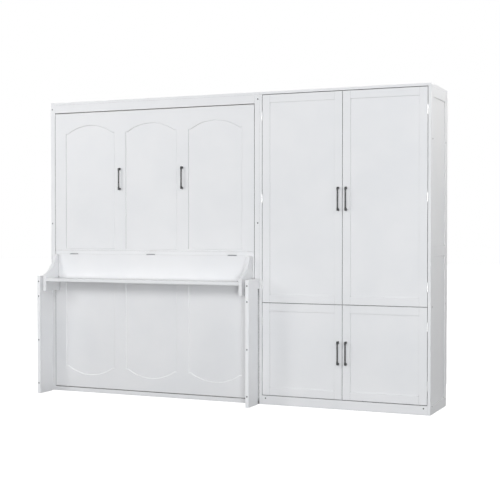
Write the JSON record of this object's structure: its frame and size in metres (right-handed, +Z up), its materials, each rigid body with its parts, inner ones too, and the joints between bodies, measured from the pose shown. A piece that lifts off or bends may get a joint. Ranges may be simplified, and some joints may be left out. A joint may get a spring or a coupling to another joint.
{
  "type": "wall bed with fold down desk",
  "caption": "White wall bed that folds down from a cabinet, with a desk on its underside that stays level, and a wardrobe with panelled doors beside it.",
  "frame": {"origin": "middle of the footprint (cabinets and desk) at floor level", "axes": "+X to the right along the front, +Y from the front towards the wall, +Z up"},
  "size_m": [2.899, 0.636, 2.15],
  "materials": {
    "white_board": "board with smooth satin white paint",
    "timber": "bare planed softwood",
    "steel": "plain zinc-plated steel",
    "gunmetal": "dark grey satin coating",
    "nylon": "moulded plastic"
  },
  "bodies": {
    "cabinet": {"bed_side_left": "white_board", "bed_side_right": "white_board", "bed_stile_left": "white_board", "bed_stile_right": "white_board", "bed_top_board": "white_board", "bed_fascia": "white_board", "bed_toe_rail": "white_board", "wall_rails": "white_board", "outer_leg_left": "white_board", "outer_leg_right": "white_board", "leg_screws": "gunmetal", "face_screws": "gunmetal", "cabinet_pivot_plates": "steel", "wardrobe_side_left": "white_board", "wardrobe_side_right": "white_board", "wardrobe_top": "white_board", "wardrobe_base": "white_board", "wardrobe_plinth": "white_board", "wardrobe_mid_shelf": "white_board", "wardrobe_upper_shelf": "white_board", "wardrobe_lower_shelf": "white_board", "shelf_pins": "steel", "wardrobe_back": "white_board", "hanging_rod": "steel", "rod_sockets": "steel", "door_hinge_fixed_leaves": "steel", "door_catches": "nylon"},
    "bed": {"bed_front_upper": "white_board", "bed_front_lower": "white_board", "bed_rail_left": "white_board", "bed_rail_right": "white_board", "bed_end_rails": "white_board", "bed_middle_beam": "timber", "bed_slats": "timber", "slat_ledges": "timber", "bed_pivot_plates": "steel", "bed_handle_left": "gunmetal", "bed_handle_right": "gunmetal", "desk_hinge_bed_leaves": "gunmetal"},
    "desk": {"desk_top": "white_board", "desk_back_board": "white_board", "desk_wing_left": "white_board", "desk_wing_right": "white_board", "desk_hinge_desk_leaves": "gunmetal"},
    "door_upper_left": {"upper_left_door": "white_board", "upper_left_handle": "gunmetal", "upper_left_hinge_leaves": "steel"},
    "door_upper_right": {"upper_right_door": "white_board", "upper_right_handle": "gunmetal", "upper_right_hinge_leaves": "steel"},
    "door_lower_left": {"lower_left_door": "white_board", "lower_left_handle": "gunmetal", "lower_left_hinge_leaves": "steel"},
    "door_lower_right": {"lower_right_door": "white_board", "lower_right_handle": "gunmetal", "lower_right_hinge_leaves": "steel"},
    "lift_cylinder_left": {"strut_cylinder_left": "gunmetal"},
    "lift_rod_left": {"strut_rod_left": "steel"},
    "lift_cylinder_right": {"strut_cylinder_right": "gunmetal"},
    "lift_rod_right": {"strut_rod_right": "steel"}
  },
  "joints": [
    {"name": "bed_fold", "type": "hinge", "parent": "cabinet", "child": "bed", "pos_m": [-0.601, -0.062, 0.347], "axis": [1, 0, 0], "range_deg": [0, 90], "stiffness_Nm_per_rad": 240, "springref_deg": -12.03},
    {"name": "desk_level", "type": "hinge", "parent": "bed", "child": "desk", "pos_m": [-0.601, -0.1355, 1.0255], "axis": [1, 0, 0], "range_deg": [-90, 0]},
    {"name": "strut_swing_left", "type": "hinge", "parent": "cabinet", "child": "lift_cylinder_left", "pos_m": [-1.4105, -0.01511, 0.6129], "axis": [1, 0, 0], "range_deg": [0, 45]},
    {"name": "rod_swing_left", "type": "hinge", "parent": "bed", "child": "lift_rod_left", "pos_m": [-1.4105, -0.062, 0.077], "axis": [1, 0, 0], "range_deg": [-45, 0]},
    {"name": "strut_swing_right", "type": "hinge", "parent": "cabinet", "child": "lift_cylinder_right", "pos_m": [0.2085, -0.01511, 0.6129], "axis": [1, 0, 0], "range_deg": [0, 45]},
    {"name": "rod_swing_right", "type": "hinge", "parent": "bed", "child": "lift_rod_right", "pos_m": [0.2085, -0.062, 0.077], "axis": [1, 0, 0], "range_deg": [-45, 0]},
    {"name": "swing_upper_left", "type": "hinge", "parent": "cabinet", "child": "door_upper_left", "pos_m": [0.269, -0.1358, 1.416], "axis": [0, 0, -1], "range_deg": [0, 90]},
    {"name": "swing_upper_right", "type": "hinge", "parent": "cabinet", "child": "door_upper_right", "pos_m": [1.428, -0.1358, 1.416], "axis": [0, 0, 1], "range_deg": [0, 110]},
    {"name": "swing_lower_left", "type": "hinge", "parent": "cabinet", "child": "door_lower_left", "pos_m": [0.269, -0.1358, 0.383], "axis": [0, 0, -1], "range_deg": [0, 90]},
    {"name": "swing_lower_right", "type": "hinge", "parent": "cabinet", "child": "door_lower_right", "pos_m": [1.428, -0.1358, 0.383], "axis": [0, 0, 1], "range_deg": [0, 110]}
  ],
  "couplings": [
    {"joint": "desk_level", "follows": "bed_fold", "ratio": -1},
    {"joint": "strut_swing_left", "follows": "bed_fold", "ratio": 0.5},
    {"joint": "rod_swing_left", "follows": "bed_fold", "ratio": -0.5},
    {"joint": "strut_swing_right", "follows": "bed_fold", "ratio": 0.5},
    {"joint": "rod_swing_right", "follows": "bed_fold", "ratio": -0.5}
  ]
}
